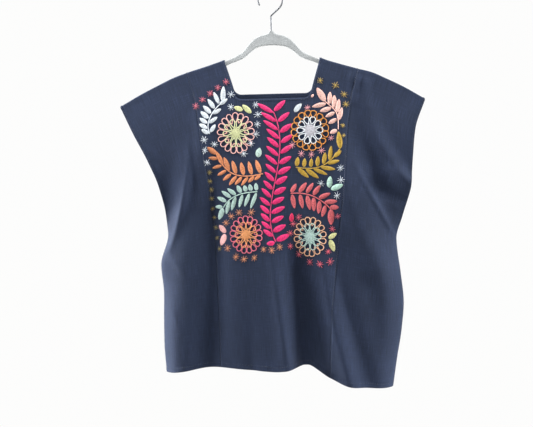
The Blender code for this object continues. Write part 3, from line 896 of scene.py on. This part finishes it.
def leaf(threads, x, z, angle, length, width, shade=1.0):
    """A satin-stitched leaf of slanting strands, padded along its middle, with painted shade between
    its strands. Sizes in metres.
    """
    rows = 2 * max(6, round(length / LEAF_STRAND)) + 1
    t = np.linspace(*LEAF_ENDS, rows)[:, None]
    s = np.linspace(-1, 1, LEAF_COLUMNS)[None, :]
    ragged = 1 + rng.normal(0, LEAF_RAGGED, (rows, 1))
    along = np.clip(t * length + LEAF_SLANT * width / 2 * leaf_width(t) * s, 0, length)
    half = width / 2 * leaf_width(along / length) * ragged
    crown = np.sqrt(np.maximum(1 - s**2, 0)) * leaf_width(along / length) ** 0.5
    ridge = np.where(np.arange(rows) % 2 == 1, 1.0, 0.0)[:, None]
    high = crown * (LEAF_CROWN + LEAF_RIDGE * ridge) - LEAF_SINK
    turn = math.radians(angle)
    a = x + along * math.cos(turn) - s * half * math.sin(turn)
    b = z + along * math.sin(turn) + s * half * math.cos(turn)
    points = np.stack([a, b, np.broadcast_to(high, a.shape)], axis=-1)
    # Painted shade: the raised strands are painted lighter and the rows between them darker, on top
    # of random tone.
    leaf_tone_and_painted_shade = shade * (0.80 + 0.26 * ridge) * rng.uniform(0.84, 1.10, (rows, 1))
    leaf_tones_and_painted_shade = np.broadcast_to(leaf_tone_and_painted_shade, a.shape).ravel()
    number = np.arange(rows * LEAF_COLUMNS).reshape(rows, LEAF_COLUMNS)
    threads.add(points, quads(number), leaf_tones_and_painted_shade)


def chain(threads, path, radius, closed=False, height=0.0006, shade=1.0):
    """A line of chain stitch: a thread that swells at every link, painted a little darker between
    the links.
    """
    path = np.asarray(path, float)
    legs = np.linalg.norm(np.diff(path, axis=0), axis=1)
    run = np.concatenate([[0], np.cumsum(legs)])
    links = max(3, round(run[-1] / CHAIN_LINK))
    swell = 1 + CHAIN_SWELL * np.cos(2 * math.pi * links * run / run[-1])
    size = radius * swell
    if not closed:
        taper = ease(np.minimum(run, run[-1] - run) / (CHAIN_TAPER * radius))
        size = size * (CHAIN_TIP + (1 - CHAIN_TIP) * taper)
    high = np.full((len(path), 1), height)
    # Painted shade: the narrow parts between links are painted a little darker than the swells.
    shades = np.repeat(shade * (0.86 + 0.12 * swell), CHAIN_SIDES)
    threads.tube(np.hstack([path, high]), size, CHAIN_SIDES, closed=closed, shade=shades)


def stem_points(sprig, shares):
    """Places along a sprig's stem, which passes through its four points."""
    given = np.array([0.0, 0.33, 0.67, 1.0])
    xs = np.polyfit(given, [sprig.x0, sprig.x1, sprig.x2, sprig.x3], 3)
    zs = np.polyfit(given, [sprig.z0, sprig.z1, sprig.z2, sprig.z3], 3)
    return np.stack([np.polyval(xs, shares), np.polyval(zs, shares)], axis=-1) * MM


def on_yoke(threads, name, colour):
    """Lays threads on the front as one piece in its own colour."""
    threads.piece(name, thread_material(name, colour), "centre_cloth", on_front)


def sprig_piece(sprig):
    threads = Threads()
    stem = stem_points(sprig, np.linspace(0, 1, STEM_STEPS))
    chain(threads, stem, STEM_THREAD, shade=sprig.stem_shade)
    for side in SIDES:
        if side.sprig != sprig.name:
            continue
        for k in range(side.count):
            at = k / (side.count - 1)
            share = side.first + (side.last - side.first) * at
            angle = bow(side.angle0, side.angle1, side.angle2, at) + rng.uniform(-3, 3)
            length = bow(side.length0, side.length1, side.length2, at) * rng.uniform(0.94, 1.06)
            width = side.width * rng.uniform(0.92, 1.08)
            root = stem_points(sprig, np.array([share]))[0]
            turn = math.radians(angle)
            start = root + LEAF_CLEAR * np.array([math.cos(turn), math.sin(turn)])
            shade = 1 + (sprig.end_shade - 1) * share
            leaf(threads, *start, angle, length * MM - LEAF_CLEAR / 2, width * MM, shade)
    if sprig.tip_length:
        end = stem_points(sprig, np.array([1.0]))[0]
        size = (sprig.tip_length * MM, sprig.tip_width * MM)
        leaf(threads, *end, sprig.tip_angle, *size, sprig.end_shade)
    on_yoke(threads, sprig.name, sprig.colour)


def loop_path(x, z, angle, long, wide, count=40):
    """A closed petal loop that starts at (x, z), narrow there and round at its far end."""
    t = np.linspace(0, 2 * math.pi, count, endpoint=False)
    along = long * (1 - np.cos(t)) / 2
    fullness = LOOP_ROOT + (1 - LOOP_ROOT) * (1 - np.cos(t)) / 2
    across = wide / 2 * np.sin(t) * fullness / LOOP_WIDEST
    a = x + along * math.cos(angle) - across * math.sin(angle)
    b = z + along * math.sin(angle) + across * math.cos(angle)
    return np.stack([a, b], axis=1)


def loop_ring(threads, flower, count, far, long, wide, offset, height):
    """A ring of looped petals. far is the ring's outer reach as a share of the flower's."""
    for k in range(count):
        angle = 2 * math.pi * (k + offset) / count + rng.uniform(-0.03, 0.03)
        stretch = rng.uniform(0.94, 1.06)
        rim = np.array([flower.wide * math.cos(angle), flower.tall * math.sin(angle)]) * far
        facing = math.atan2(rim[1], rim[0])
        start = rim - long * stretch * np.array([math.cos(facing), math.sin(facing)])
        x = (flower.x + start[0]) * MM
        z = (flower.z + start[1]) * MM
        path = loop_path(x, z, facing, long * stretch * MM, wide * rng.uniform(0.95, 1.05) * MM)
        chain(threads, path, LOOP_THREAD, closed=True, height=height)


def flower_pieces(flower):
    outer = Threads()
    loop_ring(
        outer, flower, flower.outer, OUTER_REACH, flower.outer_long, flower.outer_wide,
        offset=0.3, height=0.0006,
    )
    on_yoke(outer, f"{flower.name}_outer", flower.outer_colour)
    inner = Threads()
    loop_ring(
        inner, flower, flower.inner, INNER_REACH, flower.inner_long, flower.inner_wide,
        offset=0.0, height=0.0010,
    )
    on_yoke(inner, f"{flower.name}_inner", flower.inner_colour)
    disc = Threads()
    share = np.linspace(0, 1, DISC_STEPS)
    for k in range(DISC_STITCHES):
        angle = 2 * math.pi * k / DISC_STITCHES + rng.uniform(-0.04, 0.04)
        ends = np.array([DISC_START, flower.disc * rng.uniform(0.86, 1.22)]) * MM
        a, b = from_centre(flower, np.linspace(ends[0], ends[1], DISC_STEPS), angle)
        path = np.stack([a, b, 0.0011 - 0.0005 * share**2], axis=1)
        radius = np.linspace(0.00055, 0.00050, DISC_STEPS)
        disc.tube(path, radius, sides=5, shade=rng.uniform(0.7, 1.05))
    mound(disc, flower)
    on_yoke(disc, f"{flower.name}_centre", flower.disc_colour)


def from_centre(flower, reach, angle):
    """The place at a reach and an angle from a flower's centre, as tall as the flower is."""
    a = flower.x * MM + reach * math.cos(angle)
    return a, flower.z * MM + reach * math.sin(angle) * flower.tall / flower.wide


def mound(threads, flower):
    """The padded middle of a flower: a low mound with a knotted surface."""
    rings, spokes = MOUND_RINGS, MOUND_SPOKES
    points = [(flower.x * MM, flower.z * MM, MOUND_HEIGHT)]
    for i in range(1, rings + 1):
        reach = flower.disc * MOUND_REACH * MM * i / rings
        for k in range(spokes):
            angle = 2 * math.pi * (k + 0.5 * (i % 2)) / spokes
            dome = math.sqrt(max(0.0, 1 - (i / rings) ** 2))
            high = MOUND_HEIGHT * dome + rng.uniform(0, 0.00035)
            points.append((*from_centre(flower, reach, angle), high))
    faces = [(0, 1 + k, 1 + (k + 1) % spokes) for k in range(spokes)]
    for i in range(rings - 1):
        near, far = 1 + i * spokes, 1 + (i + 1) * spokes
        for k in range(spokes):
            turn = (k + 1) % spokes
            faces.append((near + k, far + k, far + turn, near + turn))
    threads.add(points, faces, rng.uniform(0.66, 1.06, len(points)))


def star(threads, x, z, size):
    """Straight stitches that cross at one point."""
    turn = rng.uniform(0, math.pi / STAR_STITCHES)
    for k in range(STAR_STITCHES):
        angle = turn + k * math.pi / STAR_STITCHES + rng.uniform(-0.10, 0.10)
        half = size / 2 * rng.uniform(0.86, 1.22)
        reach = np.linspace(-1, 1, 7)
        high = 0.0004 + 0.00022 * k + 0.0004 * (1 - reach**2)
        path = np.stack(
            [x + half * reach * math.cos(angle), z + half * reach * math.sin(angle), high], axis=1
        )
        threads.tube(path, STAR_THREAD * (1 - 0.4 * np.abs(reach) ** 3), sides=5)


def star_pieces():
    colours = sorted({run.colour for run in STAR_RUNS})
    for number, colour in enumerate(colours, 1):
        threads = Threads()
        for run in STAR_RUNS:
            if run.colour != colour:
                continue
            for k in range(run.count):
                at = k / max(1, run.count - 1)
                x = bow(run.x0, run.x1, run.x2, at) + rng.uniform(-1.5, 1.5)
                z = bow(run.z0, run.z1, run.z2, at) + rng.uniform(-1.5, 1.5)
                star(threads, x * MM, z * MM, run.size * rng.uniform(0.92, 1.08) * MM)
        on_yoke(threads, f"stars_{number}", colour)


def single_leaves():
    for number, single in enumerate(SINGLES, 1):
        threads = Threads()
        size = (single.length * MM, single.width * MM)
        leaf(threads, single.x * MM, single.z * MM, single.angle, *size)
        on_yoke(threads, f"leaf_{number}", single.colour)


def embroidery():
    for sprig in SPRIGS:
        sprig_piece(sprig)
    for flower in FLOWERS:
        flower_pieces(flower)
    star_pieces()
    single_leaves()


# Sewing, in the cloth's own thread


SEWING = 0.00032
STITCH = 0.0045
STITCH_ENDS = 0.7  # thickness of a stitch where it enters the cloth
SEAM_BITE = 0.0016
SEAM_LEAN = 0.0009
SEAM_END = 0.002
EDGE_BITE = 0.0042
EDGE_END = 0.004
NECK_PITCH = 0.0028


def sew(side, name, material, stitches):
    """One piece of stitches, each a row of places given as (u, v, height)."""
    threads = Threads()
    for places in stitches:
        radius = np.full(len(places), SEWING)
        radius[[0, -1]] *= STITCH_ENDS
        threads.tube(np.array(places, float), radius, sides=4)
    threads.piece(name, material, f"{side}_cloth", on_cloth)


def seam_stitches(side, sign, material):
    """The panels are laced edge to edge, over the shoulder from hem to hem."""
    near = CENTRE_HALF - SEAM_BITE
    far = CENTRE_HALF + SEAM_GAP + SEAM_BITE
    stitches = [
        (
            (sign * near, v - SEAM_LEAN, 0.0),
            (sign * (near + far) / 2, v, 0.0004),
            (sign * far, v + SEAM_LEAN, 0.0),
        )
        for v in spaced(-LENGTH + SEAM_END, LENGTH - SEAM_END, STITCH)
    ]
    sew(side, f"{side}_seam_stitches", material, stitches)


def edge_stitches(side, sign, material):
    """The outer selvedges are overcast, and hold front to back below the armholes."""
    inner = CLOTH_HALF - EDGE_BITE
    back = spaced(-LENGTH + EDGE_END, 0, STITCH)
    front = spaced(EDGE_END, LENGTH, STITCH)
    stitches = [
        (
            (sign * inner, v - 0.0012, 0.0),
            (sign * (inner + 0.0022), v - 0.0002, 0.0005),
            (sign * (CLOTH_HALF - 0.0002), v + 0.0008, 0.0004),
        )
        for v in (*back, *front)
    ]
    sew(side, f"{side}_edge_stitches", material, stitches)


def hem_stitches(side, low, high, material):
    """Small slanting stitches hold the turned hem, front and back."""
    top = LENGTH - HEM_WIDTH
    stitches = [
        (
            (u, sign * (top - 0.0014), -0.0004),
            (u + 0.0007, sign * top, 0.0002),
            (u + 0.0014, sign * (top + 0.0016), 0.0),
        )
        for sign in (1, -1)
        for u in spaced(low + EDGE_END, high - EDGE_END, STITCH)
    ]
    sew(side, f"{side}_hem_stitches", material, stitches)


def neck_outline(offset):
    """Places round the neck's hole at a distance outside its edge."""
    places = []
    for sign, neck in ((1, NECK_FRONT), (-1, NECK_BACK)):
        reach = NECK_CORNER + offset
        side = spaced(0, neck - NECK_CORNER, NECK_PITCH)
        half = [(NECK_HALF + offset, v) for v in side]
        for a in np.linspace(0, math.pi / 2, 8)[1:]:
            u = NECK_HALF - NECK_CORNER + reach * math.cos(a)
            half.append((u, neck - NECK_CORNER + reach * math.sin(a)))
        for u in spaced(NECK_HALF - NECK_CORNER, 0, NECK_PITCH)[1:]:
            half.append((u, neck + offset))
        whole = half + [(-u, v) for u, v in reversed(half[:-1])]
        whole = [(u, sign * v) for u, v in whole]
        places += whole if sign == 1 else list(reversed(whole))[1:-1]
    return places


def neck_stitches(material):
    """A running stitch holds the neck's turned edge."""
    ring = neck_outline(NECK_HEM - 0.0008)
    stitches = [
        (
            (*first, -0.0001),
            ((first[0] + second[0]) / 2, (first[1] + second[1]) / 2, 0.0004),
            (*second, -0.0001),
        )
        for first, second in zip(ring[0::2], ring[1::2])
    ]
    sew("centre", "neck_stitches", material, stitches)


def sewing():
    material = thread_material("sewing_thread", "242d42")
    for stitches in (seam_stitches, edge_stitches):
        stitches("left", -1, material)
        stitches("right", 1, material)
    hem_stitches("left", -CLOTH_HALF, -CENTRE_HALF, material)
    hem_stitches("centre", -CENTRE_HALF, CENTRE_HALF, material)
    hem_stitches("right", CENTRE_HALF, CLOTH_HALF, material)
    neck_stitches(material)


# The camera and the light


CAMERA_PLACE = Vector((0.1116, -1.5961, -0.4383))
CAMERA_HEADING = math.radians(4.815)
CAMERA_PITCH = math.radians(-1.667)
CAMERA_ROLL = math.radians(-1.8)
CAMERA_LENS = 49.8
SENSOR_WIDTH = 36


def camera():
    data = bpy.data.cameras.new("camera")
    data.lens = CAMERA_LENS
    data.sensor_width = SENSOR_WIDTH
    data.sensor_fit = "HORIZONTAL"
    made = placed("camera", data)
    made.matrix_world = (
        Matrix.Translation(CAMERA_PLACE)
        @ Matrix.Rotation(CAMERA_HEADING, 4, "Z")
        @ Matrix.Rotation(math.pi / 2 + CAMERA_PITCH, 4, "X")
        @ Matrix.Rotation(CAMERA_ROLL, 4, "Z")
    )
    bpy.context.scene.camera = made


LAMPS = table(
    "Lamp",
    "name x y z size power",
    ("left_softbox", -1.65, -0.46, 0.12, 0.5, 45),
    ("right_softbox", 1.72, -0.28, -0.20, 0.5, 56),
    ("top_softbox", -0.1, -0.30, 0.95, 0.6, 33),
    ("back_softbox", -1.70, 0.30, 0.00, 0.5, 80),
    ("back_fill", 1.30, 1.30, 0.30, 0.9, 14),
)
AIM = Vector((0, 0, -0.45))
WORLD_COLOUR = (1.0, 1.0, 0.995, 1)
FRONT_LIGHT = 0.09
BACK_LIGHT = 0.34
LIGHT_RISE = (-0.5, 0.7)  # from the front to the back, as a direction's Y
BACKDROP = 0.98  # the world as the camera sees it, evenly pale from every side
FLOOR_DEPTH = -1.50
FLOOR_RADIUS = 1.5
FLOOR_SIDES = 96


def studio():
    for lamp in LAMPS:
        data = bpy.data.lights.new(lamp.name, "AREA")
        data.shape = "SQUARE"
        data.size = lamp.size
        data.energy = lamp.power
        made = placed(lamp.name, data)
        made.location = (lamp.x, lamp.y, lamp.z)
        made.rotation_euler = (AIM - made.location).to_track_quat("-Z", "Y").to_euler()
    world = bpy.data.worlds.new("studio")
    nodes = Nodes(world, "Background")
    direction = nodes.add("ShaderNodeTexCoord", {}, "Generated")
    backwards = nodes.add("ShaderNodeSeparateXYZ", {"Vector": direction}, "Y")
    inputs = {"Value": backwards, "From Min": LIGHT_RISE[0], "From Max": LIGHT_RISE[1]}
    inputs |= {"To Min": FRONT_LIGHT, "To Max": BACK_LIGHT}
    level = nodes.add("ShaderNodeMapRange", inputs, "Result", interpolation_type="SMOOTHSTEP")
    seen = nodes.add("ShaderNodeLightPath", {}, "Is Camera Ray")
    inputs = {"Factor": seen, "A": level, "B": BACKDROP}
    nodes.set(Color=WORLD_COLOUR, Strength=nodes.add("ShaderNodeMix", inputs, "Result"))
    bpy.context.scene.world = world
    bpy.context.scene.view_settings.view_transform = "Standard"


def floor():
    build = bmesh.new()
    bmesh.ops.create_circle(build, cap_ends=True, segments=FLOOR_SIDES, radius=FLOOR_RADIUS)
    mesh = bpy.data.meshes.new("floor")
    build.to_mesh(mesh)
    build.free()
    nodes = new_nodes("pale_floor")
    soft = nodes.noise(nodes.coordinates("Object"), scale=3.0)
    nodes.colour(soft, (0.3, linear("eceae8")), (0.7, linear("f2f0ee")))
    nodes.set(Roughness=0.9)
    mesh.materials.append(nodes.owner)
    made = placed("floor", mesh)
    made.location = (0, 0, FLOOR_DEPTH)


def dress_hanger():
    for node, material in (("hanger_body", flock_material()), ("hanger_hook", wire_material())):
        bpy.data.objects[node].material_slots[0].material = material


camera()
studio()
floor()
navy = cloth_material()
side_cloth("left", -1, navy)
centre_cloth(navy)
side_cloth("right", 1, navy)
embroidery()
sewing()
dress_hanger()
